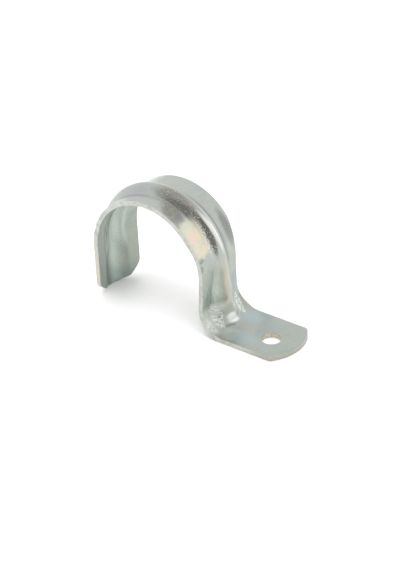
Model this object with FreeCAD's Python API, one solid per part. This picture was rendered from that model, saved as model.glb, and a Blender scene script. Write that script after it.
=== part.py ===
import FreeCAD, Part
import math
import os

# One-hole conduit strap: a single strip of zinc-plated sheet steel, bent into an arch that
# drops over a conduit, with a flat foot on one side and a free leg on the other.
# Millimetres. The origin is on the conduit's axis, in the middle of the strip's width.
# +X points to the foot, +Y lies along the conduit and +Z points away from the wall.

# Strip and arch
conduit_diameter = 40.0
sheet = 1.6
strip_width = 21.0
free_leg_lean = 2.2  # degrees that the free leg leans in past the arch's half turn

# Foot and rounded ends
foot_bend_radius = 8.0  # on the foot's upper side
foot_reach = 52.5  # conduit axis to the tip of the foot's rounded end
end_bulge = 4.0  # tip of each rounded end beyond its corners
corner_radius = 1.0
hole_diameter = 6.6
hole_reach = 42.7  # conduit axis to the screw hole
hole_offset = -1.2  # the hole is pierced a little off the strip's middle

# Stiffening rib, pressed outwards along the strip
rib_offset = -0.8  # the rib's centre line, off the strip's middle
rib_root_radius = 1.2
arch_rib_height = 2.4
arch_rib_half_width = 4.2
leg_rib_height = 2.7
leg_rib_half_width = 6.0
rib_spread_length = 10.0  # length of leg over which the rib grows to its full size
toe_angle = 32.0  # degrees round the foot bend where the rib's rounded toe begins

# Waist drawn into both edges of the foot-side leg
waist_depth = 1.5
waist_length = 30.0
waist_drop = 2.0  # below the conduit's axis

spread_steps = 4  # spans of each leg's spreading stretch

conduit_radius = conduit_diameter / 2
wall_level = -conduit_radius
outer_radius = conduit_radius + sheet
half_width = strip_width / 2
bend_x = outer_radius + foot_bend_radius
bend_z = wall_level + sheet + foot_bend_radius
arch_turn = 180 + free_leg_lean

along_conduit = FreeCAD.Vector(0, 1, 0)
conduit_axis = FreeCAD.Vector(0, 0, 0)
bend_axis = FreeCAD.Vector(bend_x, 0, bend_z)


def rib_half(height, root, depth, side):
    """Half of one face of the rib, at a depth in the sheet: crown arc, then root arc.

    The arcs run from the crest to the flat strip on one side and are tangent to each other.
    """
    flank = 2 * math.atan2(height, root)
    crown_radius = root / math.sin(flank) - rib_root_radius
    crown_centre = outer_radius + height - crown_radius
    root_centre = outer_radius + rib_root_radius

    def on_crown(angle):
        radius = crown_radius - depth
        across = radius * math.sin(angle)
        return FreeCAD.Vector(crown_centre + radius * math.cos(angle), rib_offset + side * across, 0)

    def on_root(angle):
        radius = rib_root_radius + depth
        across = root - radius * math.sin(angle)
        return FreeCAD.Vector(root_centre - radius * math.cos(angle), rib_offset + side * across, 0)

    return [
        Part.Arc(on_crown(0), on_crown(flank / 2), on_crown(flank)).toShape(),
        Part.Arc(on_crown(flank), on_root(flank / 2), on_root(0)).toShape(),
    ]


def strip_section(height, root):
    """The strip cut across where the foot-side leg meets the arch, as a closed wire."""
    outline = []
    for depth, first in ((0, -1), (sheet, 1)):
        level = outer_radius - depth
        start = FreeCAD.Vector(level, first * half_width, 0)
        rib_start = FreeCAD.Vector(level, rib_offset + first * root, 0)
        rib_end = FreeCAD.Vector(level, rib_offset - first * root, 0)
        end = FreeCAD.Vector(level, -first * half_width, 0)
        across_edge = FreeCAD.Vector(outer_radius + conduit_radius - level, -first * half_width, 0)
        near_crown, near_root = rib_half(height, root, depth, first)
        far_crown, far_root = rib_half(height, root, depth, -first)
        crown = Part.Arc(
            near_crown.Vertexes[-1].Point, near_crown.Vertexes[0].Point, far_crown.Vertexes[-1].Point)
        outline.append(Part.makeLine(start, rib_start))
        outline += [near_root, crown.toShape(), far_root]
        outline.append(Part.makeLine(rib_end, end))
        outline.append(Part.makeLine(end, across_edge))
    return Part.Wire(outline)


def flat_section():
    """The strip's plain section, past the end of the rib."""
    corners = [
        FreeCAD.Vector(level, side * half_width, 0)
        for level, side in ((conduit_radius, -1), (outer_radius, -1), (outer_radius, 1),
                            (conduit_radius, 1), (conduit_radius, -1))
    ]
    return Part.Face(Part.makePolygon(corners))


def turned(shape, centre, degrees):
    """A copy turned about a line along the conduit, from the foot towards the free leg."""
    copy = shape.copy()
    copy.rotate(centre, along_conduit, -degrees)
    return copy


def straight_leg(length, direction):
    """A straight leg from the arch's end, built along +Z (1) or -Z (-1), with its rib spreading."""
    sections = []
    for step in range(spread_steps + 1):
        share = step / spread_steps
        blend = share * share * (3 - 2 * share)
        section = strip_section(
            arch_rib_height + (leg_rib_height - arch_rib_height) * blend,
            arch_rib_half_width + (leg_rib_half_width - arch_rib_half_width) * blend)
        section.translate(FreeCAD.Vector(0, 0, direction * rib_spread_length * share))
        sections.append(section)
    rest_length = length - rib_spread_length
    rest = Part.Face(sections[-1]).extrude(FreeCAD.Vector(0, 0, direction * rest_length))
    return Part.makeLoft(sections, True, True).fuse(rest)


def rounded_end(start, tip):
    """Outline of a strip in the XY plane whose end bulges to a tip, with rounded corners."""
    end_radius = (half_width ** 2 + end_bulge ** 2) / (2 * end_bulge)
    end_centre = tip - end_radius
    corner_y = half_width - corner_radius
    corner_x = end_centre + math.sqrt((end_radius - corner_radius) ** 2 - corner_y ** 2)
    turn = math.atan2(corner_x - end_centre, corner_y)

    def corner_point(side, angle):
        return FreeCAD.Vector(
            corner_x + corner_radius * math.sin(angle),
            side * (corner_y + corner_radius * math.cos(angle)),
            0)

    near = [FreeCAD.Vector(start, side * half_width, 0) for side in (-1, 1)]
    return Part.Face(Part.Wire([
        Part.makeLine(near[1], near[0]),
        Part.makeLine(near[0], corner_point(-1, 0)),
        Part.Arc(corner_point(-1, 0), corner_point(-1, turn / 2), corner_point(-1, turn)).toShape(),
        Part.Arc(corner_point(-1, turn), FreeCAD.Vector(tip, 0, 0), corner_point(1, turn)).toShape(),
        Part.Arc(corner_point(1, turn), corner_point(1, turn / 2), corner_point(1, 0)).toShape(),
        Part.makeLine(corner_point(1, 0), near[1]),
    ]))


def arch():
    """The half turn over the conduit, carried on by the free leg's lean."""
    section = Part.Face(strip_section(arch_rib_height, arch_rib_half_width))
    return section.revolve(conduit_axis, -along_conduit, arch_turn)


def free_leg():
    """The leg that hangs beside the conduit and touches the wall with its rounded tip."""
    lean = math.radians(free_leg_lean)
    crest_radius = outer_radius + leg_rib_height
    length = (conduit_radius - crest_radius * math.sin(lean)) / math.cos(lean)
    outline = rounded_end(0, length)
    outline.rotate(conduit_axis, along_conduit, -90)
    outline.translate(FreeCAD.Vector(conduit_radius, 0, 0))
    trim = outline.extrude(FreeCAD.Vector(sheet + leg_rib_height, 0, 0))
    return turned(straight_leg(length, 1).common(trim), conduit_axis, arch_turn)


def toe_form(depth):
    """The rib's rounded end as a solid of revolution, filled down past the strip."""
    base = conduit_radius - sheet
    crown, root = rib_half(leg_rib_height, leg_rib_half_width, depth, 1)
    crest = crown.Vertexes[0].Point
    rim = root.Vertexes[-1].Point
    base_rim = FreeCAD.Vector(base, rim.y, 0)
    base_centre = FreeCAD.Vector(base, rib_offset, 0)
    outline = Part.Wire([
        crown,
        root,
        Part.makeLine(rim, base_rim),
        Part.makeLine(base_rim, base_centre),
        Part.makeLine(base_centre, crest),
    ])
    return Part.Face(outline).revolve(base_centre, FreeCAD.Vector(-1, 0, 0), 180)


def foot_bend():
    """The quarter turn into the foot, where the rib ends in a rounded toe."""
    down_to_bend = FreeCAD.Vector(0, 0, bend_z)
    ribbed_section = Part.Face(strip_section(leg_rib_height, leg_rib_half_width))
    ribbed_section.translate(down_to_bend)
    ribbed = ribbed_section.revolve(bend_axis, along_conduit, -toe_angle)
    plain_section = flat_section()
    plain_section.translate(down_to_bend)
    plain = turned(plain_section, bend_axis, toe_angle).revolve(
        bend_axis, along_conduit, toe_angle - 90)
    forms = []
    for depth in (0, sheet):
        form = toe_form(depth)
        form.translate(down_to_bend)
        forms.append(turned(form, bend_axis, toe_angle))
    bend_body = Part.makeCylinder(
        foot_bend_radius + sheet, strip_width, bend_axis - along_conduit * half_width, along_conduit)
    toe = plain.fuse(forms[0].common(bend_body)).cut(forms[1])
    return ribbed.fuse(toe)


def foot():
    """The flat foot with its rounded end and its screw hole."""
    plate = rounded_end(bend_x, foot_reach).extrude(FreeCAD.Vector(0, 0, sheet))
    hole = Part.makeCylinder(hole_diameter / 2, sheet, FreeCAD.Vector(hole_reach, hole_offset, 0))
    pierced = plate.cut(hole)
    pierced.translate(FreeCAD.Vector(0, 0, wall_level))
    return pierced


def waist():
    """The shallow arcs that narrow the foot-side leg from both edges."""
    radius = (waist_length ** 2 / 4 + waist_depth ** 2) / (2 * waist_depth)
    centre_y = half_width - waist_depth + radius
    reach = conduit_diameter
    cuts = []
    for side in (-1, 1):
        base = FreeCAD.Vector(conduit_radius / 2, side * centre_y, -waist_drop)
        cuts.append(Part.makeCylinder(radius, reach, base, FreeCAD.Vector(1, 0, 0)))
    return cuts


def strap():
    """The whole strap as one solid."""
    pieces = [straight_leg(-bend_z, -1), foot_bend(), foot(), free_leg()]
    return arch().fuse(pieces).cut(waist()).removeSplitter()


part = strap()
print("solids:", len(part.Solids), "valid:", part.isValid(), "volume:", round(part.Volume, 1))
part.Solids[0].exportStep("parts/strap.step")
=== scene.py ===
"""Conduit strap: one strip of zinc-plated sheet steel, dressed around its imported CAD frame."""

import logging
import math
from dataclasses import dataclass, field
from enum import Enum
from typing import Any, Callable, Iterable, Optional, Sequence, Union

import bmesh
import bpy
from mathutils import Matrix, Vector, noise


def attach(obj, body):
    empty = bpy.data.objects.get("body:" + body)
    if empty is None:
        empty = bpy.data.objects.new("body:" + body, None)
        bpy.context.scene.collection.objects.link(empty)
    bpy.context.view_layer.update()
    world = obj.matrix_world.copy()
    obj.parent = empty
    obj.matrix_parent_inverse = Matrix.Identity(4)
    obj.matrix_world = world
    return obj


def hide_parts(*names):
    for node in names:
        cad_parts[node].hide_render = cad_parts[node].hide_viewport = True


LOG = logging.getLogger("conduit_strap")
MM = 0.001
# How fast a noise changes for each millimetre along a streak, and the mean of any noise
LINED = 0.12 * MM
MEAN = 0.5
WHITE = (1.0, 1.0, 1.0)
LOW_CORNER, HIGH_CORNER = 0, 6
Number = Union[int, float]
Pair = tuple[float, float]
Triple = tuple[float, float, float]
Colour = Triple

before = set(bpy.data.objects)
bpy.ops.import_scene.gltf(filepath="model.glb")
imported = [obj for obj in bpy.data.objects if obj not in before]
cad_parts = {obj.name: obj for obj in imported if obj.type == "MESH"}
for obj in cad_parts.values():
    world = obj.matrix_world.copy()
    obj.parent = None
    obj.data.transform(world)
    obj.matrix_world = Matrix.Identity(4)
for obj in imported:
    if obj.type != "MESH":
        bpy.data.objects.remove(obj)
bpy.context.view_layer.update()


# Shader helpers


def operator(operation: str, swapped: bool = False) -> Callable[["Value", Any], "Value"]:
    """Makes a method of Value out of a Math node's operation.

    Args:
        operation: the Math node's operation.
        swapped: whether the other value comes first.

    Returns:
        The method.
    """
    def method(self: "Value", other: Union["Value", Number]) -> "Value":
        """The operation on self and other."""
        return self.maths(operation, *((other, self) if swapped else (self, other)))
    return method


class Value:
    """A shader socket that Python arithmetic can be done on.

    Args:
        nodes: the material or world that owns the socket.
        socket: the output socket to wrap, or None behind a node that has none.
    """

    def __init__(self, nodes: "NodeBook", socket: Optional[bpy.types.NodeSocket]) -> None:
        self.nodes = nodes
        self.socket = socket

    def maths(self, operation: str, *values: Union["Value", Number]) -> "Value":
        """Adds one Math node on the given values."""
        return self.nodes.add("ShaderNodeMath", {"operation": operation}, dict(enumerate(values)))

    __add__ = operator("ADD")
    __radd__ = operator("ADD", swapped=True)
    __sub__ = operator("SUBTRACT")
    __rsub__ = operator("SUBTRACT", swapped=True)
    __mul__ = operator("MULTIPLY")
    __rmul__ = operator("MULTIPLY", swapped=True)
    at_most = operator("MINIMUM")
    at_least = operator("MAXIMUM")

    def __abs__(self) -> "Value":
        """The size of self."""
        return self.maths("ABSOLUTE", self)

    def step(self, low: Number, high: Number) -> "Value":
        """A smooth step from 0 at low to 1 at high, or falling where low is the greater."""
        return self.nodes.add(
            "ShaderNodeMapRange",
            {"interpolation_type": "SMOOTHSTEP"},
            {"Value": self, "From Min": low, "From Max": high, "To Min": 0.0, "To Max": 1.0},
            "Result")

    def near(self, middle: Number, reach: Number) -> "Value":
        """A bump of height 1 at middle that is gone at a distance of reach."""
        return abs(self - middle).step(reach, 0.0)

    def between(self, rise: Pair, fall: Pair) -> "Value":
        """A mask that grows from 0 to 1 over rise and goes back to 0 over fall."""
        return self.step(*rise) * self.step(fall[1], fall[0])


class NodeBook:
    """The nodes of one material or world, added by one method.

    Args:
        tree: the node tree to write in. What it holds is cleared.
    """

    def __init__(self, tree: bpy.types.NodeTree) -> None:
        self.tree = tree
        tree.nodes.clear()

    def add(self, kind: str, settings: dict[str, Any], inputs: dict[Any, Any],
            output: Union[int, str] = 0) -> Value:
        """Adds a node.

        Args:
            kind: the node's type.
            settings: its own properties, set before its sockets.
            inputs: socket name or index to a Value, a number, a colour or a vector.
            output: the output socket to return.

        Returns:
            The chosen output, wrapped.
        """
        node = self.tree.nodes.new(kind)
        for name, setting in settings.items():
            setattr(node, name, setting)
        for name, given in inputs.items():
            if isinstance(given, Value):
                self.tree.links.new(given.socket, node.inputs[name])
            else:
                node.inputs[name].default_value = given
        return Value(self, node.outputs[output]) if node.outputs else Value(self, None)

    def attribute(self, name: str) -> Value:
        """A float attribute stored on the mesh."""
        return self.add("ShaderNodeAttribute", {"attribute_name": name}, {}, "Fac")

    def position(self) -> Value:
        """The object's own coordinates, in metres."""
        return self.add("ShaderNodeTexCoord", {}, {}, "Object")

    def vector(self, x: Value, y: Value) -> Value:
        """A vector from two values."""
        return self.add("ShaderNodeCombineXYZ", {}, {"X": x, "Y": y})

    def blend(self, share: Value, low: Union[Value, Colour], high: Union[Value, Colour]) -> Value:
        """A colour that goes from low to high as share goes from 0 to 1."""
        node = self.add("ShaderNodeMix", {"data_type": "RGBA"}, {"Factor": share})
        mix = node.socket.node
        for index, given in ((6, low), (7, high)):
            if isinstance(given, Value):
                self.tree.links.new(given.socket, mix.inputs[index])
            else:
                mix.inputs[index].default_value = (*given, 1.0)
        return Value(self, mix.outputs[2])

    def metal(self, colour: Value, metallic: Union[Value, Number],
              roughness: Union[Value, Number], height: Value, relief: Pair) -> None:
        """Ends the material as metal with a fine relief.

        Args:
            colour: the base colour.
            metallic: how metallic it is.
            roughness: how rough it is.
            height: the relief's height, from 0 to about 1.
            relief: the relief's strength, and its depth in metres.
        """
        strength, depth = relief
        bump = self.add(
            "ShaderNodeBump", {}, {"Strength": strength, "Distance": depth, "Height": height})
        shader = self.add(
            "ShaderNodeBsdfPrincipled", {},
            {"Base Color": colour, "Metallic": metallic, "Roughness": roughness, "Normal": bump})
        self.add("ShaderNodeOutputMaterial", {}, {"Surface": shader})


def new_material(name: str) -> tuple[bpy.types.Material, NodeBook]:
    """Makes an empty material.

    Args:
        name: the material's name.

    Returns:
        The material and its nodes.
    """
    made = bpy.data.materials.new(name)
    made.use_nodes = True
    return made, NodeBook(made.node_tree)


# Finishes


@dataclass(frozen=True)
class Grain:
    """A noise over the surface, and the levels that make a mask of it.

    Attributes:
        scale: how fine it is, in cycles per metre.
        detail, rough: how many finer noises are added, and how strong they are.
        levels: the levels at which the mask is 0 and 1.
    """

    scale: float
    detail: float = 3.0
    rough: float = 0.5
    levels: Pair = (0.0, 1.0)

    def noise(self, where: Value) -> Value:
        """The noise itself over the given coordinates, about 0 to 1 with a mean of a half."""
        return where.nodes.add(
            "ShaderNodeTexNoise", {"normalize": True},
            {"Vector": where, "Scale": self.scale, "Detail": self.detail, "Roughness": self.rough},
            "Fac")

    def mask(self, where: Value) -> Value:
        """The noise as a mask over the given coordinates."""
        return self.noise(where).step(*self.levels)


@dataclass(frozen=True)
class Tint:
    """A colour, and how far it covers what lies under it.

    Attributes:
        colour: the colour.
        share: the most of it that shows, from 0 to 1.
    """

    colour: Colour
    share: float = 1.0

    def over(self, ground: Union[Value, Colour], mask: Value) -> Value:
        """Lays the colour over a ground where the mask is."""
        return mask.nodes.blend(mask * self.share, ground, self.colour)


def layered(ground: Union[Value, Colour], layers: Iterable[tuple[Tint, Value]]) -> Value:
    """Lays tints over a ground, each where its mask is."""
    for tint, mask in layers:
        ground = tint.over(ground, mask)
    return ground


@dataclass(frozen=True)
class Band:
    """A soft band that runs along the strip, in millimetres.

    Attributes:
        across: its middle line's place across the strip, before any drift.
        reach: the distance from that line at which it is gone.
        rise, fall: where along the strip it starts, is full, starts to fade and is gone.
        drift: how far its middle line moves across for each millimetre along.
        strength: the mask's greatest value.
    """

    across: float
    reach: float
    rise: Pair = (-2.0, -1.0)
    fall: Pair = (200.0, 201.0)
    drift: float = 0.0
    strength: float = 1.0

    def mask(self, along: Value, across: Value) -> Value:
        """The band as a mask, from the places along and across the strip in millimetres."""
        line = (across - along * self.drift).near(self.across, self.reach)
        return line * along.between(self.rise, self.fall) * self.strength


@dataclass(frozen=True)
class Mark:
    """A soft-edged oval on the strip, in millimetres along and across it.

    Attributes:
        along: distance of its middle from the free leg's tip.
        across: its middle's place across the strip.
        length, width: half of its length along the strip and of its width.
        slant: how far it moves along the strip for each millimetre across.
        soft: share of the half length and width over which it fades.
        boxy: whether it fills out to a rounded box.
    """

    along: float
    across: float
    length: float
    width: float
    slant: float = 0.0
    soft: float = 0.5
    boxy: bool = False

    def mask(self, along: Value, across: Value) -> Value:
        """The mark as a mask.

        Args:
            along, across: the places along and across the strip, in millimetres.

        Returns:
            1 inside the mark and 0 outside.
        """
        down = (along - self.along - (across - self.across) * self.slant) * (1 / self.length)
        aside = (across - self.across) * (1 / self.width)
        down, aside = down * down, aside * aside
        if self.boxy:
            down, aside = down * down, aside * aside
        return (down + aside).step(1 + self.soft, 1 - self.soft)


def together(masks: Iterable[Value]) -> Value:
    """The greatest of several masks."""
    masks = list(masks)
    joined = masks[0]
    for mask in masks[1:]:
        joined = joined.at_least(mask)
    return joined


@dataclass(frozen=True)
class ZincPlate:
    """Bright zinc plating on the faces of the sheet: satin, patchy and lightly scratched.

    Colours are laid one over another, and marks and bands say where each of them lies.
    """

    # The plating's own colour, its patches and its fine mottle
    plain: Colour = (0.475, 0.505, 0.475)
    cool: Tint = Tint((0.40, 0.45, 0.45))
    warm: Tint = Tint((0.46, 0.45, 0.38), 0.5)
    mottled: Tint = Tint((0.29, 0.31, 0.29), 0.22)
    # A painted lilac sheen on the flange over the arch's top, the lightly rubbed faces at the
    # bend, and the tan crest
    painted_lilac_sheen: Tint = Tint((0.47, 0.465, 0.475))
    light: Tint = Tint((0.64, 0.68, 0.64))
    tan: Tint = Tint((0.54, 0.50, 0.41), 0.9)
    # The broad and the fine streaks of the foot-side leg
    drawn: Tint = Tint((0.36, 0.42, 0.39), 0.6)
    combed: Tint = Tint((0.36, 0.42, 0.39), 0.8)
    # Dark smudges, specks and painted shade; a dark streaked band inside the free leg; the foot's
    # tint
    shade: Tint = Tint((0.29, 0.31, 0.29))
    dark_streak_tint: Tint = Tint((0.20, 0.24, 0.25), 0.8)
    blue: Tint = Tint((0.46, 0.55, 0.58), 0.75)
    # The painted dark reflection on the arch, from its faint brownish edge inwards
    brown: Tint = Tint((0.40, 0.38, 0.33), 0.7)
    dark_reflection_tint: Tint = Tint((0.24, 0.24, 0.21), 0.9)
    darkest: Tint = Tint((0.11, 0.11, 0.10), 0.7)
    # The painted warm reflection on the flange beside the dark one, its paler places and its tint
    painted_warm_reflection: Colour = (0.73, 0.67, 0.51)
    milky: Tint = Tint((0.61, 0.61, 0.52), 0.85)
    pink: Tint = Tint((0.75, 0.63, 0.54))
    # The painted highlight along the crest, and the bright scuffs with the painted toe highlight,
    # sparkles and glints
    painted_crest_highlight: Tint = Tint((0.76, 0.75, 0.72))
    bright_scuffs_and_highlights: Tint = Tint((0.84, 0.86, 0.84))
    # What multiplies them on the leg, the foot, the conduit's side, and painted light in the rib's
    # hollow
    leg_tone: Tint = Tint((0.83, 0.84, 0.80))
    foot_tone: Tint = Tint((0.89, 0.91, 0.89))
    inside: Colour = (0.71, 0.735, 0.69)
    hollow_painted_light: Tint = Tint((1.16, 1.22, 1.15))
    # The noises, each with the levels of its own colour
    patches: Grain = Grain(90.0, 2.0, 0.5, (0.5, 0.72))
    blotches: Grain = Grain(420.0, 4.0, 0.6, (0.55, 0.8))
    streaks: Grain = Grain(1500.0, 3.0, 0.6, (0.50, 0.60))
    fine: Grain = Grain(3200.0, 2.0, 0.6, (0.48, 0.58))
    specks: Grain = Grain(2300.0, 3.0, 0.7, (0.56, 0.66))
    mottle: Grain = Grain(1100.0, 4.0, 0.7, (0.42, 0.72))
    peel: Grain = Grain(2600.0, 2.0)
    speckle: Grain = Grain(3000.0, 1.0, 0.5, (0.62, 0.72))
    glints: Grain = Grain(3300.0, 1.0, 0.5, (0.52, 0.60))
    # The noises of the scuffs, and each one's slant as shares of across and of along
    rubbing: Sequence[Grain] = (
        Grain(3200.0, 3.0, 0.6, (0.50, 0.57)), Grain(2800.0, 3.0, 0.6))
    lean: Sequence[Pair] = ((0.9, -0.3), (-0.7, 0.5))
    # How far the marks' edges fray along and across, in millimetres
    fraying: Pair = (3.0, 1.4)
    # Levels of the dark band's streaks and of the milky blotches; where the painted warm
    # reflection is all milky
    dark_streak_levels: Pair = (0.35, 0.6)
    milk_levels: Pair = (0.42, 0.66)
    milk_across: Pair = (-8.0, -10.0)
    milk_along: Pair = (71.8, 69.2)
    # The marks of the painted dark reflection, of the painted warm reflection, and of the other
    # colours above
    painted_dark_reflection: Sequence[Mark] = (
        Mark(60.8, -3.0, 7.4, 2.4, 0.0, 0.9), Mark(72.0, -2.25, 10.5, 1.1, 0.0, 0.5),
        Mark(62.5, -6.6, 4.4, 4.4, -0.5, 0.8))
    darkest_reflection_mark: Mark = Mark(75.5, -2.3, 6.0, 1.0, 0.0, 0.6)
    browned: Mark = Mark(61.0, -0.8, 9.0, 1.6, 0.05, 0.9)
    # The painted warm reflection on the flange, and its pink place
    creamy: Mark = Mark(73.9, -6.7, 6.4, 4.0, -0.05, 0.75, True)
    blush: Mark = Mark(73.3, -7.8, 2.5, 1.8, 0.0, 0.9)
    # Dark smudges on the flanges, and painted shade in the crease under the rib's toe
    smudges_and_painted_shade: Sequence[Mark] = (
        Mark(76.8, 8.0, 6.5, 1.6, 0.0, 0.7), Mark(81.4, -8.3, 1.2, 1.3, 0.0, 0.9),
        Mark(84.3, -9.0, 1.1, 0.8, 0.0, 0.9), Mark(108.4, -2.8, 0.6, 2.4, 0.2, 0.9))
    bluish: Sequence[Mark] = (
        Mark(111.0, 6.0, 4.0, 3.0, 0.0, 0.9), Mark(116.5, -6.0, 5.0, 3.0, 0.0, 0.9))
    rubbed: Sequence[Mark] = (
        Mark(103.8, -4.8, 4.6, 2.0, 0.0, 0.5), Mark(104.9, -9.0, 2.9, 1.5, 0.0, 0.5),
        Mark(104.4, 7.0, 3.2, 1.5, -1.1, 0.5))
    lifted: Sequence[Mark] = (
        Mark(98.5, -8.6, 8.5, 3.0, 0.0, 0.8), Mark(97.8, -2.4, 4.5, 2.6, 0.0, 0.9),
        Mark(112.0, -6.5, 3.0, 3.4, 0.0, 0.8))
    dark_streak_band: Mark = Mark(27.0, -6.0, 8.0, 1.0, 0.0, 0.8)
    # The painted highlight on the rib's toe, an oval, and the one on the crest with its own line:
    # along, across, drift
    toe_highlight_mark: Mark = Mark(107.1, 0.2, 1.4, 2.3, 0.30, 0.9)
    crest_highlight_mark: Mark = Mark(74.6, 0.0, 6.5, 0.85, 0.0, 0.8)
    crest_highlight_line: Triple = (70.6, -0.9, 0.12)
    # The foot-side leg's flank and crest, painted shade at the rib's front and back roots, painted
    # glints at the dark reflection's front edge
    flank: Band = Band(-5.8, 4.0, (82.0, 88.0), (101.0, 106.0))
    crest: Band = Band(0.7, 3.4, (80.0, 88.0), (98.0, 104.0))
    root: Band = Band(-5.5, 0.6, (28.0, 34.0), (54.0, 60.0), strength=0.4)
    back_root_painted_shade: Band = Band(0.95, 0.75, (56.0, 68.0), (84.0, 92.0), drift=0.04)
    glinting: Band = Band(-3.3, 0.8, (68.0, 73.0), (79.5, 81.5))
    # The painted shade line along the crease, and the painted light in the rib's hollow, inside
    # the free leg
    crease_painted_shade: Band = Band(-6.9, 0.5, fall=(30.0, 36.0), strength=0.7)
    painted_light_hollow: Band = Band(0.8, 4.8, fall=(26.0, 40.0))
    # The middle and the reach of the painted lilac sheen
    top_along: Pair = (46.0, 9.0)
    top_across: Pair = (-6.0, 5.0)
    # The painted shade behind the painted crest highlight: where it grows and fades, and how
    # strong it is
    lee_across: Sequence[Pair] = ((0.5, 1.2), (4.2, 5.2))
    lee_along: Sequence[Pair] = ((62.0, 68.0), (84.0, 90.0))
    lee_share: float = 0.45
    # Where the leg's and the foot's tones set in
    leg_from: Pair = (79.0, 87.0)
    foot_from: Pair = (103.0, 110.0)
    # How strong the specks are, how much weaker outside, and how bright the scuffs are
    speck_share: float = 0.6
    outer_specks: float = 0.7
    rub_share: float = 0.9
    # The roughness, and what blotches, streaks, inside, lifted marks and scuffs add to it
    roughness: float = 0.31
    rougher: Sequence[float] = (0.14, 0.12, 0.1, 0.12, 0.2)
    # How metallic it is, and how much less so the painted toe highlight and the painted warm
    # reflection are
    metallic: float = 0.86
    duller: Pair = (0.75, 0.4)
    # The relief: the shares of peel, streaks, scuffs and speckles, then its strength and depth
    heights: Sequence[float] = (0.4, 0.25, 1.2, 6.0)
    relief: Pair = (0.25, 0.04 * MM)

    def scuffs(self, book: NodeBook, along: Value, across: Value) -> Value:
        """The scratches of the scuffed places, crossed at two slants.

        Args:
            book: the material's nodes.
            along, across: the places along and across the strip, in millimetres.

        Returns:
            Their mask.
        """
        lines = (
            book.vector((along + across * aside) * MM, (across + along * down) * LINED)
            for aside, down in self.lean)
        noises = together(grain.noise(line) for grain, line in zip(self.rubbing, lines))
        return noises.step(*self.rubbing[0].levels)

    def material(self) -> bpy.types.Material:
        """Builds the material.

        Returns:
            The material, with its nodes.
        """
        made, book = new_material("zinc_plate")
        along = book.attribute("along") * (1 / MM)
        across = book.attribute("across") * (1 / MM)
        outer = book.attribute("outer")
        inner = 1.0 - outer
        where = book.position()
        along_streaks = book.vector(along * LINED, across * MM)

        blotches = self.blotches.noise(where)
        streaks = self.streaks.noise(along_streaks)
        peel = self.peel.noise(where)
        speckle = self.speckle.mask(where)
        ragged_along = along + (blotches - MEAN) * self.fraying[0]
        ragged_across = across + (peel - MEAN) * self.fraying[1]

        def marked(*marks: Mark) -> Value:
            """The outer face's mask of some marks, with frayed edges."""
            return together(mark.mask(ragged_along, ragged_across) for mark in marks) * outer

        def crisp(mark: Union[Mark, Band]) -> Value:
            """The outer face's mask of a mark or a band as it is."""
            return mark.mask(along, across) * outer

        # The painted dark reflection on the arch's front flank
        painted_dark_reflection = marked(*self.painted_dark_reflection)
        # The painted warm reflection on the flange beside it
        creamy = marked(self.creamy)
        lifted = marked(*self.lifted)
        rub = marked(*self.rubbed) * self.scuffs(book, along, across)
        # The painted highlight on the rib's toe
        painted_toe_highlight = crisp(self.toe_highlight_mark)
        # The painted highlight along the crest, and the painted shade on the back flank behind it
        line_along, line_across, line_drift = self.crest_highlight_line
        from_crest_highlight = across - line_across - (along - line_along) * line_drift
        painted_crest_highlight = self.crest_highlight_mark.mask(along, from_crest_highlight) * outer
        painted_lee_shade = from_crest_highlight.between(*self.lee_across) * along.between(*self.lee_along) * outer
        flank = crisp(self.flank)
        # The painted shade line along the crease inside the free leg
        crease_painted_shade = self.crease_painted_shade.mask(along, across) * inner
        # A dark streaked band beside that crease
        dark_streak_band = self.dark_streak_band.mask(ragged_along, ragged_across) * inner
        # Painted glints along the front edge of the painted dark reflection
        glints = self.glints.mask(where) * crisp(self.glinting)
        # A painted lilac sheen on the flange over the arch's top
        painted_top_sheen = along.near(*self.top_along) * across.near(*self.top_across) * outer
        specks = self.specks.mask(where) * (1.0 - outer * self.outer_specks)
        # Dark smudges and specks, and painted shade at the rib's roots, behind its crest and in
        # the creases
        smudges_and_painted_shade = together((
            marked(*self.smudges_and_painted_shade), crisp(self.back_root_painted_shade), specks * self.speck_share, crease_painted_shade,
            painted_lee_shade * self.lee_share, crisp(self.root)))

        # The painted warm reflection, with milky places and a pink tint
        milk = across.step(*self.milk_across).at_least(along.step(*self.milk_along))
        painted_warm_reflection = self.milky.over(self.painted_warm_reflection, milk.at_least(blotches.step(*self.milk_levels)))
        painted_warm_reflection = self.pink.over(painted_warm_reflection, self.blush.mask(ragged_along, ragged_across))
        colour = layered(self.plain, (
            (self.cool, self.patches.mask(where)),
            (self.warm, blotches.step(*self.blotches.levels)),
            (self.mottled, self.mottle.mask(where)),
            (self.painted_lilac_sheen, painted_top_sheen),
            (self.light, lifted),
            (self.tan, crisp(self.crest)),
            (self.brown, marked(self.browned)),
            (self.drawn, flank * streaks.step(*self.streaks.levels)),
            (self.combed, flank * self.fine.mask(along_streaks)),
            (self.shade, smudges_and_painted_shade),
            (self.dark_streak_tint, dark_streak_band * streaks.step(*self.dark_streak_levels)),
            (self.blue, marked(*self.bluish))))
        # The painted warm and dark reflections are laid over the rest
        colour = layered(book.blend(creamy, colour, painted_warm_reflection), (
            (self.dark_reflection_tint, painted_dark_reflection), (self.darkest, marked(self.darkest_reflection_mark))))

        # Painted light in the rib's hollow inside the free leg, over the conduit side's tone
        dimmed = self.hollow_painted_light.over(self.inside, self.painted_light_hollow.mask(along, across))
        dimmed = layered(book.blend(outer, dimmed, WHITE), (
            (self.leg_tone, along.step(*self.leg_from) * outer),
            (self.foot_tone, along.step(*self.foot_from) * outer)))
        colour = book.add(
            "ShaderNodeVectorMath", {"operation": "MULTIPLY"}, {0: colour, 1: dimmed})
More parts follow.
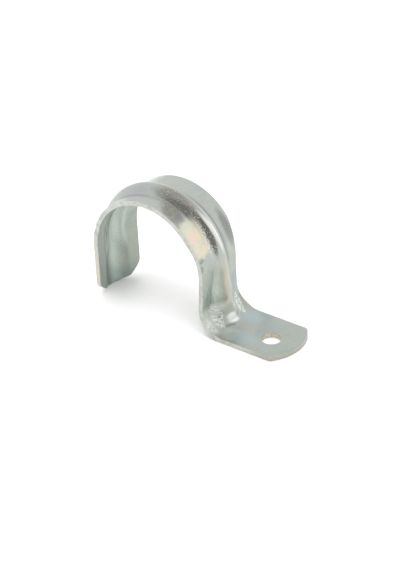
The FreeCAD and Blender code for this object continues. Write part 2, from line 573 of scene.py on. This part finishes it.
        # Bright scuffs, the painted toe highlight, painted sparkles on the dark reflection, and
        # painted glints
        rubbed = together((rub * self.rub_share, painted_toe_highlight, painted_dark_reflection * speckle, glints))
        colour = layered(colour, ((self.painted_crest_highlight, painted_crest_highlight), (self.bright_scuffs_and_highlights, rubbed)))

        rougher = (blotches - MEAN, streaks - MEAN, inner, lifted, rub)
        roughness = sum(
            (value * share for value, share in zip(rougher, self.rougher)), self.roughness)
        uneven = (peel, streaks, rub, speckle * painted_dark_reflection)
        height = sum(value * share for value, share in zip(uneven, self.heights))
        # Less metallic under the painted toe highlight and the painted warm reflection
        metallic = self.metallic - painted_toe_highlight * self.duller[0] - creamy * self.duller[1]
        book.metal(colour, metallic, roughness, height, self.relief)
        return made


@dataclass(frozen=True)
class ShearedEdge:
    """The cut edge of the sheet: paler than its faces, torn and unevenly plated.

    Attributes:
        pale, stained, torn: the burnished part of the cut, its stains, and its tears.
        creamy, browned: the colours on the free leg and towards the foot's tip.
        leg_from, tip_from: where those two set in.
        tears, stains: the noises of the tears and the stains.
        roughness, uneven: the cut's mean roughness, and what the tears add to it.
        metallic: how metallic the cut is.
        relief: the relief's strength, and its depth in metres.
    """

    pale: Colour = (0.53, 0.55, 0.51)
    stained: Tint = Tint((0.43, 0.43, 0.39))
    torn: Tint = Tint((0.43, 0.43, 0.39), 0.5)
    creamy: Tint = Tint((0.55, 0.535, 0.44), 0.8)
    browned: Tint = Tint((0.36, 0.34, 0.28), 0.6)
    leg_from: Pair = (24.0, 12.0)
    tip_from: Pair = (125.0, 130.0)
    tears: Grain = Grain(1300.0, 4.0, 0.65, (0.6, 0.8))
    stains: Grain = Grain(600.0, 4.0, 0.7, (0.42, 0.66))
    roughness: float = 0.42
    uneven: float = 0.4
    metallic: float = 0.75
    relief: Pair = (0.4, 0.08 * MM)

    def material(self) -> bpy.types.Material:
        """Builds the material.

        Returns:
            The material, with its nodes.
        """
        made, book = new_material("sheared_edge")
        where = book.position()
        along = book.attribute("along") * (1 / MM)
        tears = self.tears.noise(where)
        colour = layered(self.pale, (
            (self.stained, self.stains.mask(where)),
            (self.torn, tears.step(*self.tears.levels)),
            (self.creamy, along.step(*self.leg_from)),
            (self.browned, along.step(*self.tip_from))))
        roughness = self.roughness + (tears - MEAN) * self.uneven
        book.metal(colour, self.metallic, roughness, tears, self.relief)
        return made


@dataclass(frozen=True)
class PunchedHole:
    """The wall of the punched screw hole: burnished, with a yellowish tint.

    Attributes:
        burnished, torn, tears: the colour of the wall, that of its tears, and their noise.
        roughness, metallic: how rough and how metallic the wall is.
        relief: the relief's strength, and its depth in metres.
    """

    burnished: Colour = (0.54, 0.52, 0.43)
    torn: Tint = Tint((0.27, 0.26, 0.22))
    tears: Grain = Grain(1600.0, 3.0, 0.6, (0.45, 0.75))
    roughness: float = 0.3
    metallic: float = 0.9
    relief: Pair = (0.5, 0.05 * MM)

    def material(self) -> bpy.types.Material:
        """Builds the material.

        Returns:
            The material, with its nodes.
        """
        made, book = new_material("punched_hole")
        tears = self.tears.noise(book.position())
        colour = self.torn.over(self.burnished, tears.step(*self.tears.levels))
        book.metal(colour, self.metallic, self.roughness, tears, self.relief)
        return made


# The strap


class Face(Enum):
    """The strap's kinds of face, by material slot."""

    SHEET = 0
    EDGE = 1
    HOLE = 2


class Stretch(Enum):
    """The stretches of the strip, from the free leg's tip to the foot's tip."""

    FREE_LEG = "free leg"
    ARCH = "arch"
    FOOT_LEG = "foot-side leg"
    BEND = "foot bend"
    FOOT = "foot"


@dataclass
class Strap:
    """The whole strap: its strip is drawn out row by row from the free leg's tip to the foot.

    A point of the strip is given by its stretch, a share of that stretch, its place across the
    strip and its height over the sheet's conduit side. Lengths are in metres.
    """

    # The arch's inner radius, half of the strip's width, the foot's tip and the screw hole
    conduit_radius: float
    half_width: float
    foot_reach: float
    hole_place: Vector
    hole_radius: float
    # The sheet's thickness, the free leg's lean, and the outer face's radius in the foot bend
    sheet: float = 1.6 * MM
    lean: float = math.radians(2.2)
    bend_radius: float = 8.0 * MM
    # How far both ends bulge, and their corners' radii
    end_bulge: float = 4.0 * MM
    foot_corner: float = 1.0 * MM
    free_corner: float = 3.0 * MM
    # The rib's place across on the arch and at its toe, and the shares of the way between them
    rib_offset: float = -1.3 * MM
    toe_offset: float = 0.9 * MM
    drift: Triple = (0.65, 0.95, 0.15)
    # The fillet along the rib's roots, its height and half width, and how far it takes to spread
    root_radius: float = 1.2 * MM
    arch_rib: Pair = (2.4 * MM, 4.2 * MM)
    leg_rib: Pair = (2.7 * MM, 6.0 * MM)
    free_rib: Pair = (2.7 * MM, 6.7 * MM)
    rib_spread: float = 10.0 * MM
    # The rounded toe: its first and last angles round the bend, and rounds of solving for it
    toe_start: float = math.radians(37.0)
    toe_reach: float = 1.0
    toe_passes: int = 16
    # The toe's crease: its depth, and the angle and the shares across over which it is eased in
    crease: float = 0.7 * MM
    toe_easing: float = math.radians(18.0)
    toe_sides: Pair = (1.3, 2.5)
    # The waist in the foot-side leg's edges
    waist_depth: float = 1.5 * MM
    waist_length: float = 30.0 * MM
    waist_drop: float = 2.0 * MM
    # The rounding of the cut edges and the smoothing of the faces
    edge_round: float = 0.2 * MM
    arris_parts: int = 2
    arris_angle: float = math.radians(60.0)
    smooth_angle: float = math.radians(50.0)
    face_weight: int = 80
    # How uneven the edges are, and each nick's station, reach and depth
    edge_wander: float = 0.05 * MM
    wander_scale: float = 400.0
    nicks: Sequence[tuple[tuple[Stretch, float], float, float]] = (
        ((Stretch.ARCH, 0.095), 1.3 * MM, 0.28 * MM),
        ((Stretch.FREE_LEG, 0.82), 0.9 * MM, 0.2 * MM))
    # How finely all of it is divided
    hole_sides: int = 72
    rib_columns: int = 28
    flange_shares: Sequence[float] = (0.0, 0.05, 0.12, 0.22, 0.35, 0.5, 0.65, 0.8, 0.92)
    rows: dict[Stretch, int] = field(default_factory=lambda: {
        Stretch.FREE_LEG: 34, Stretch.ARCH: 110, Stretch.FOOT_LEG: 14,
        Stretch.BEND: 44, Stretch.FOOT: 30})

    def __post_init__(self) -> None:
        """Works out the sizes that follow from the others."""
        self.outer_radius = self.conduit_radius + self.sheet
        self.bend_x = self.outer_radius + self.bend_radius
        self.bend_z = -self.conduit_radius + self.sheet + self.bend_radius
        self.arch_turn = math.pi + self.lean
        drop = (self.outer_radius + self.leg_rib[0]) * math.sin(self.lean)
        self.free_length = (self.conduit_radius - drop) / math.cos(self.lean)
        bulge = self.end_bulge
        self.end_radius = (self.half_width ** 2 + bulge ** 2) / (2 * bulge)
        depth = self.waist_depth
        self.waist_radius = (self.waist_length ** 2 / 4 + depth ** 2) / (2 * depth)

    def end_drop(self, across: float, corner: float) -> float:
        """How far a rounded end stands back from its tip.

        Args:
            across: the place across the strip.
            corner: the radius of the end's corners.

        Returns:
            The distance back along the strip.
        """
        side = abs(across)
        corner_y = self.half_width - corner
        inner_radius = self.end_radius - corner
        corner_back = self.end_radius - math.sqrt(inner_radius ** 2 - corner_y ** 2)
        if side <= corner_y * self.end_radius / inner_radius:
            return self.end_radius - math.sqrt(self.end_radius ** 2 - side ** 2)
        past = min(side - corner_y, corner)
        return corner_back - math.sqrt(corner ** 2 - past ** 2)

    def edge_place(self, height: float) -> float:
        """Half of the strip's width at a height on the foot's side, where it has its waist.

        Args:
            height: the height over the conduit's axis.

        Returns:
            The distance from the strip's middle to its edge.
        """
        reach = height + self.waist_drop
        if abs(reach) >= self.waist_length / 2:
            return self.half_width
        centre = self.half_width - self.waist_depth + self.waist_radius
        return centre - math.sqrt(self.waist_radius ** 2 - reach ** 2)

    def rib_sizes(self, stretch: Stretch, share: float) -> Triple:
        """The rib at one row.

        Args:
            stretch: the row's stretch.
            share: the row's share of it.

        Returns:
            The rib's height and half width, and the angle past the start of its rounded toe.
        """
        if stretch is Stretch.ARCH:
            return (*self.arch_rib, 0.0)
        if stretch is Stretch.FOOT:
            return (*self.leg_rib, self.toe_reach)
        if stretch is Stretch.BEND:
            return (*self.leg_rib, max(0.0, share * math.pi / 2 - self.toe_start))
        length = self.free_length if stretch is Stretch.FREE_LEG else -self.bend_z
        distance = length * ((1 - share) if stretch is Stretch.FREE_LEG else share)
        grown = min(distance / self.rib_spread, 1.0)
        grown = grown * grown * (3 - 2 * grown)
        full = self.free_rib if stretch is Stretch.FREE_LEG else self.leg_rib
        height, root = (a + (b - a) * grown for a, b in zip(self.arch_rib, full))
        return height, root, 0.0

    def rib_middle(self, stretch: Stretch, share: float) -> float:
        """Where the rib's centre line lies across the strip: it drifts from the arch to the toe.

        Args:
            stretch: the row's stretch.
            share: the row's share of it.

        Returns:
            The place across the strip.
        """
        leg, bend, more = self.drift
        gone = {
            Stretch.FREE_LEG: 0.0,
            Stretch.ARCH: leg * max(0.0, 2 * share - 1),
            Stretch.FOOT_LEG: leg + (bend - leg) * share,
            Stretch.BEND: min(1.0, bend + more * share),
            Stretch.FOOT: 1.0}[stretch]
        return self.rib_offset + (self.toe_offset - self.rib_offset) * gone

    def rise(self, distance: float, height: float, root: float) -> float:
        """Height of the rib's outer face over the plain sheet's.

        Args:
            distance: the distance from the rib's centre line, or from its toe's axis.
            height: the rib's height.
            root: the rib's half width.

        Returns:
            The rise.
        """
        distance = abs(distance)
        if distance >= root:
            return 0.0
        flank = 2 * math.atan2(height, root)
        crown = root / math.sin(flank) - self.root_radius
        if distance <= crown * math.sin(flank):
            return height - crown + math.sqrt(crown ** 2 - distance ** 2)
        return self.root_radius - math.sqrt(self.root_radius ** 2 - (root - distance) ** 2)

    def toe_rise(self, across: float, height: float, root: float, past: float) -> float:
        """Height of the rib's rounded toe over the bend, where the toe is turned about an axis.

        Args:
            across: the distance from the rib's centre line.
            height: the rib's height.
            root: the rib's half width.
            past: the angle round the bend from the toe's axis.

        Returns:
            The rise, eased in over the crease where the toe meets the bend.
        """
        radius = self.bend_radius
        for _ in range(self.toe_passes):
            distance = math.hypot(radius * math.sin(past), across)
            radius = (self.bend_radius - self.rise(distance, height, root)) / math.cos(past)
        over = self.bend_radius - radius
        side, slope = self.toe_sides
        beside = min(max(slope * (side - abs(across) / root), 0.0), 1.0)
        eased = min(past / self.toe_easing, 1.0) * beside
        return 0.5 * (over + math.sqrt(over ** 2 + (self.crease * eased) ** 2))

    def place(self, stretch: Stretch, share: float, across: float, level: float) -> Vector:
        """A point of the strip.

        Args:
            stretch: the stretch that the point is on.
            share: the share of the stretch, from its end nearer the free leg's tip.
            across: the place across the strip.
            level: the height over the sheet's conduit side.

        Returns:
            The point.
        """
        radius = self.conduit_radius + level
        if stretch is Stretch.FREE_LEG:
            past = (self.free_length - self.end_drop(across, self.free_corner)) * (1 - share)
            turn = Matrix.Rotation(-self.arch_turn, 3, "Y")
            return turn @ Vector((radius, across, past))
        if stretch is Stretch.ARCH:
            angle = self.arch_turn * (1 - share)
            return Vector((radius * math.cos(angle), across, radius * math.sin(angle)))
        if stretch is Stretch.FOOT_LEG:
            return Vector((radius, across, self.bend_z * share))
        if stretch is Stretch.BEND:
            angle = share * math.pi / 2
            turn_radius = self.bend_radius + self.sheet - level
            return Vector((
                self.bend_x - turn_radius * math.cos(angle),
                across,
                self.bend_z - turn_radius * math.sin(angle)))
        reach = self.foot_reach - self.end_drop(across, self.foot_corner) - self.bend_x
        return Vector((self.bend_x + reach * share, across, -self.conduit_radius + level))

    def row(self, stretch: Stretch, share: float) -> list[tuple[Vector, float]]:
        """One row of the sheet's outer face, from the strip's front edge to its back edge.

        Args:
            stretch: the row's stretch.
            share: the row's share of it.

        Returns:
            Each point with its place across the strip.
        """
        height, root, past = self.rib_sizes(stretch, share)
        middle = self.place(stretch, share, 0.0, self.sheet)
        edge = self.half_width
        if stretch is not Stretch.FREE_LEG and middle.x > 0:
            edge = self.edge_place(middle.z)
        if stretch is not Stretch.FOOT:
            edge -= self.edge_wander * (0.5 + 0.5 * noise.noise(middle * self.wander_scale))
        front_edge = edge
        if stretch in (Stretch.FREE_LEG, Stretch.ARCH):
            for spot, reach, depth in self.nicks:
                gap = (middle - self.place(*spot, 0.0, self.sheet)).length / reach
                front_edge -= depth * max(0.0, 1 - gap * gap)
        rib = self.rib_middle(stretch, share)
        front, back = rib - root, rib + root
        places = [-front_edge + (front + front_edge) * part for part in self.flange_shares]
        steps = self.rib_columns
        places += [rib + root * (2 * step / steps - 1) for step in range(steps + 1)]
        places += [edge + (back - edge) * part for part in reversed(self.flange_shares)]
        points = []
        for across in places:
            aside = across - rib
            if stretch is Stretch.FOOT:
                level = self.sheet
            elif past > 0:
                over = past < self.toe_reach
                level = self.sheet + (self.toe_rise(aside, height, root, past) if over else 0.0)
            else:
                level = self.sheet + self.rise(aside, height, root)
            points.append((self.place(stretch, share, across, level), across))
        return points

    def draw_rows(self, name: str) -> bpy.types.Object:
        """Draws the sheet's outer face out of a first narrow band, row after row.

        Args:
            name: the object's name.

        Returns:
            The open face as a mesh object.
        """
        stations = [(stretch, step / count)
                    for stretch, count in self.rows.items() for step in range(count)]
        stations.append((Stretch.FOOT, 1.0))
        columns = self.rib_columns + 1 + 2 * len(self.flange_shares)
        bpy.ops.mesh.primitive_grid_add(
            x_subdivisions=1, y_subdivisions=columns - 1, size=self.sheet)
        band = bpy.context.object
        band.name = band.data.name = name
        bpy.ops.object.mode_set(mode="EDIT")
        bpy.ops.mesh.select_all(action="DESELECT")
        mesh = bmesh.from_edit_mesh(band.data)
        layers = [mesh.verts.layers.float.new(word) for word in ("along", "across")]
        first = sorted(mesh.verts, key=lambda vertex: (vertex.co.x, vertex.co.y))
        travelled = 0.0
        last_middle = None
        for index, station in enumerate(stations):
            if index < 2:
                fresh = first[index * columns:(index + 1) * columns]
            else:
                bpy.ops.mesh.extrude_edges_move()
                mesh = bmesh.from_edit_mesh(band.data)
                layers = [mesh.verts.layers.float[word] for word in ("along", "across")]
                chosen = [vertex for vertex in mesh.verts if vertex.select]
                fresh = sorted(chosen, key=lambda vertex: vertex.co.y)
            row = self.row(*station)
            middle = self.place(*station, 0.0, self.sheet)
            if last_middle is not None:
                travelled += (middle - last_middle).length
            last_middle = middle
            for vertex, (point, across) in zip(fresh, row):
                vertex.co = point
                vertex[layers[0]] = travelled
                vertex[layers[1]] = across
            if index == 1:
                for vertex in fresh:
                    vertex.select = True
                mesh.select_flush_mode()
                mesh.select_flush(True)
            bmesh.update_edit_mesh(band.data)
        bpy.ops.object.mode_set(mode="OBJECT")
        outer = band.data.attributes.new("outer", "FLOAT", "POINT")
        outer.data.foreach_set("value", [1.0] * len(band.data.vertices))
        return band

    def thicken(self, strip: bpy.types.Object) -> None:
        """Gives the drawn face the sheet's thickness, with the cut rim in its own finish.

        Args:
            strip: the open outer face.
        """
        bpy.ops.object.mode_set(mode="EDIT")
        bpy.ops.mesh.select_all(action="SELECT")
        bpy.ops.mesh.normals_make_consistent(inside=False)
        bpy.ops.object.mode_set(mode="OBJECT")
        crown = max(strip.data.polygons, key=lambda face: face.center.z)
        if crown.normal.z < 0:
            bpy.ops.object.mode_set(mode="EDIT")
            bpy.ops.mesh.flip_normals()
            bpy.ops.object.mode_set(mode="OBJECT")
        wall = strip.modifiers.new("wall", "SOLIDIFY")
        wall.thickness = self.sheet
        wall.offset = -1.0
        wall.use_even_offset = True
        wall.use_rim = True
        wall.material_offset_rim = Face.EDGE.value
        drawn = len(strip.data.vertices)
        bpy.ops.object.modifier_apply(modifier=wall.name)
        outer = strip.data.attributes["outer"]
        for index in range(drawn, len(strip.data.vertices)):
            outer.data[index].value = 0.0

    def pierce(self, strip: bpy.types.Object) -> None:
        """Cuts the screw hole through the foot.

        Args:
            strip: the thickened strip.
        """
        bpy.ops.mesh.primitive_cylinder_add(
            vertices=self.hole_sides, radius=self.hole_radius, depth=4 * self.sheet,
            location=self.hole_place)
        punch = bpy.context.object
        for material in strip.data.materials:
            punch.data.materials.append(material)
        for face in punch.data.polygons:
            face.material_index = Face.HOLE.value
        bpy.ops.object.select_all(action="DESELECT")
        strip.select_set(True)
        bpy.context.view_layer.objects.active = strip
        cut = strip.modifiers.new("punch", "BOOLEAN")
        cut.operation = "DIFFERENCE"
        cut.solver = "EXACT"
        cut.object = punch
        bpy.ops.object.modifier_apply(modifier=cut.name)
        bpy.data.objects.remove(punch)

    def round_edges(self, strip: bpy.types.Object) -> None:
        """Rounds the strip's cut edges and smooths its faces.

        Args:
            strip: the pierced strip.
        """
        arris = strip.modifiers.new("arris", "BEVEL")
        arris.width = self.edge_round
        arris.segments = self.arris_parts
        arris.limit_method = "ANGLE"
        arris.angle_limit = self.arris_angle
        bpy.ops.object.modifier_apply(modifier=arris.name)
        bpy.ops.object.shade_smooth_by_angle(angle=self.smooth_angle)
        evened = strip.modifiers.new("evened", "WEIGHTED_NORMAL")
        evened.keep_sharp = True
        evened.weight = self.face_weight
        bpy.ops.object.modifier_apply(modifier=evened.name)

    def build(self) -> bpy.types.Object:
        """Models the strap in place of its CAD node.

        Returns:
            The strap.
        """
        strip = self.draw_rows("strap_sheet")
        for finish in (ZincPlate(), ShearedEdge(), PunchedHole()):
            strip.data.materials.append(finish.material())
        self.thicken(strip)
        self.pierce(strip)
        self.round_edges(strip)
        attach(strip, "root")
        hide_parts("strap")
        return strip


# The studio


@dataclass(frozen=True)
class Card:
    """A flat card that only shows in the metal's reflections.

    Attributes:
        name: the card's name.
        towards: direction from the strap to the card's middle.
        across, tall: the card's width and height, seen from the strap, in degrees.
        level: the card's colour, as light.
        reach: distance to the card.
    """

    name: str
    towards: Vector
    across: float
    tall: float
    level: Colour
    reach: float = 0.9

    def build(self) -> bpy.types.Object:
        """Adds the card.

        Returns:
            The card, facing the strap.
        """
        direction = self.towards.normalized()
        bpy.ops.mesh.primitive_plane_add(size=1.0, location=direction * self.reach)
        card = bpy.context.object
        card.name = self.name
        card.rotation_euler = direction.to_track_quat("Z", "Y").to_euler()
        sides = (2 * self.reach * math.tan(math.radians(angle / 2))
                 for angle in (self.across, self.tall))
        card.scale = (*sides, 1.0)
        made, book = new_material(self.name)
        glow = book.add("ShaderNodeEmission", {}, {"Color": (*self.level, 1.0), "Strength": 1.0})
        book.add("ShaderNodeOutputMaterial", {}, {"Surface": glow})
        card.data.materials.append(made)
        card.visible_camera = False
        card.visible_diffuse = False
        card.visible_shadow = False
        card.visible_transmission = False
        return card


@dataclass(frozen=True)
class Softbox:
    """A soft square lamp.

    Attributes:
        name: the lamp's name.
        towards: direction from the strap to the lamp.
        reach, size: distance to the lamp, and its side.
        power: the lamp's power in watts.
    """

    name: str
    towards: Vector
    reach: float
    size: float
    power: float

    def build(self) -> bpy.types.Object:
        """Adds the lamp.

        Returns:
            The lamp, turned to the strap.
        """
        light = bpy.data.lights.new(self.name, "AREA")
        light.shape = "SQUARE"
        light.size = self.size
        light.energy = self.power
        lamp = bpy.data.objects.new(self.name, light)
        bpy.context.scene.collection.objects.link(lamp)
        direction = self.towards.normalized()
        lamp.visible_glossy = False
        lamp.location = direction * self.reach
        lamp.rotation_euler = direction.to_track_quat("Z", "Y").to_euler()
        return lamp


@dataclass
class Studio:
    """The camera, the lamps, the floor and the light all round.

    Attributes:
        floor_level: height of the wall plane that the strap rests on.
        floor_size, floor_gap, floor_white: the floor's side, its gap under the strap, and how
            white it is.
        surround: strength of the light from all round.
        lens, sensor, clip: the camera's lens and sensor in millimetres, and its clip distances.
        camera_place, camera_axes: where the camera is, and its right, up and back.
        cards, lamps: what lights the strap.
    """

    floor_level: float
    floor_size: float = 6.0
    floor_gap: float = 0.03 * MM
    floor_white: float = 0.99
    surround: float = 1.0
    lens: float = 164.15
    sensor: float = 36.0
    clip: Pair = (0.01, 20.0)
    camera_place: Triple = (0.44807, -0.56715, 0.42288)
    camera_axes: Sequence[Triple] = (
        (0.80117, 0.59808, -0.02056), (-0.29503, 0.42465, 0.85594), (0.52066, -0.67969, 0.51667))
    cards: Sequence[Card] = (
        Card("dark_room", Vector((0.45, -0.75, 0.78)), 76.0, 58.0, (0.40, 0.39, 0.37)),
        Card("bright_strip", Vector((0.16, 0.97, 0.12)), 36.0, 20.0, (1.9, 1.9, 1.9)))
    lamps: Sequence[Softbox] = (
        Softbox("key", Vector((-0.45, 0.62, 0.62)), 0.9, 0.45, 2.0),
        Softbox("overhead", Vector((0.1, -0.1, 1.0)), 0.9, 0.5, 2.6))

    def camera(self) -> None:
        """Adds the camera and makes it the scene's."""
        data = bpy.data.cameras.new("camera")
        data.lens = self.lens
        data.sensor_width = self.sensor
        data.clip_start, data.clip_end = self.clip
        data.dof.use_dof = False
        camera = bpy.data.objects.new("camera", data)
        bpy.context.scene.collection.objects.link(camera)
        turn = Matrix(self.camera_axes).transposed()
        camera.matrix_world = Matrix.Translation(self.camera_place) @ turn.to_4x4()
        bpy.context.scene.camera = camera

    def floor(self) -> bpy.types.Object:
        """Adds the pale floor.

        Returns:
            The floor.
        """
        bpy.ops.mesh.primitive_plane_add(
            size=self.floor_size, location=(0.0, 0.0, self.floor_level - self.floor_gap))
        ground = bpy.context.object
        ground.name = "floor"
        made, book = new_material("floor")
        white = (*(self.floor_white,) * 3, 1.0)
        paper = book.add("ShaderNodeBsdfDiffuse", {}, {"Color": white, "Roughness": 0.0})
        book.add("ShaderNodeOutputMaterial", {}, {"Surface": paper})
        ground.data.materials.append(made)
        return ground

    def surroundings(self) -> None:
        """Makes the world white to the eye and to the metal, and plain to everything else."""
        world = bpy.data.worlds.new("studio")
        world.use_nodes = True
        bpy.context.scene.world = world
        book = NodeBook(world.node_tree)
        seen = book.add("ShaderNodeLightPath", {}, {}, "Is Camera Ray")
        mirrored = book.add("ShaderNodeLightPath", {}, {}, "Is Glossy Ray")
        passed = book.add("ShaderNodeLightPath", {}, {}, "Is Transmission Ray")
        white = (seen + mirrored + passed).at_most(1.0)
        strength = white + (1.0 - white) * self.surround
        sky = book.add("ShaderNodeBackground", {}, {"Color": (*WHITE, 1.0), "Strength": strength})
        book.add("ShaderNodeOutputWorld", {}, {"Surface": sky})

    def build(self) -> None:
        """Sets the studio up round the strap."""
        self.camera()
        self.surroundings()
        stage = [self.floor()]
        stage += [piece.build() for piece in (*self.cards, *self.lamps)]
        bpy.context.scene.view_settings.view_transform = "Standard"


def main() -> None:
    """Builds the strap and its studio."""
    logging.basicConfig(level=logging.INFO)
    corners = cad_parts["strap"].bound_box
    LOG.info("CAD node from %s to %s", tuple(corners[LOW_CORNER]), tuple(corners[HIGH_CORNER]))
    strap = Strap(
        conduit_radius=20.0 * MM,
        half_width=10.5 * MM,
        foot_reach=52.5 * MM,
        hole_place=Vector((42.7, -1.2, -19.2)) * MM,
        hole_radius=3.3 * MM)
    made = strap.build()
    LOG.info("%s: %d faces", made.name, len(made.data.polygons))
    Studio(floor_level=-strap.conduit_radius).build()


if __name__ == "__main__":
    main()
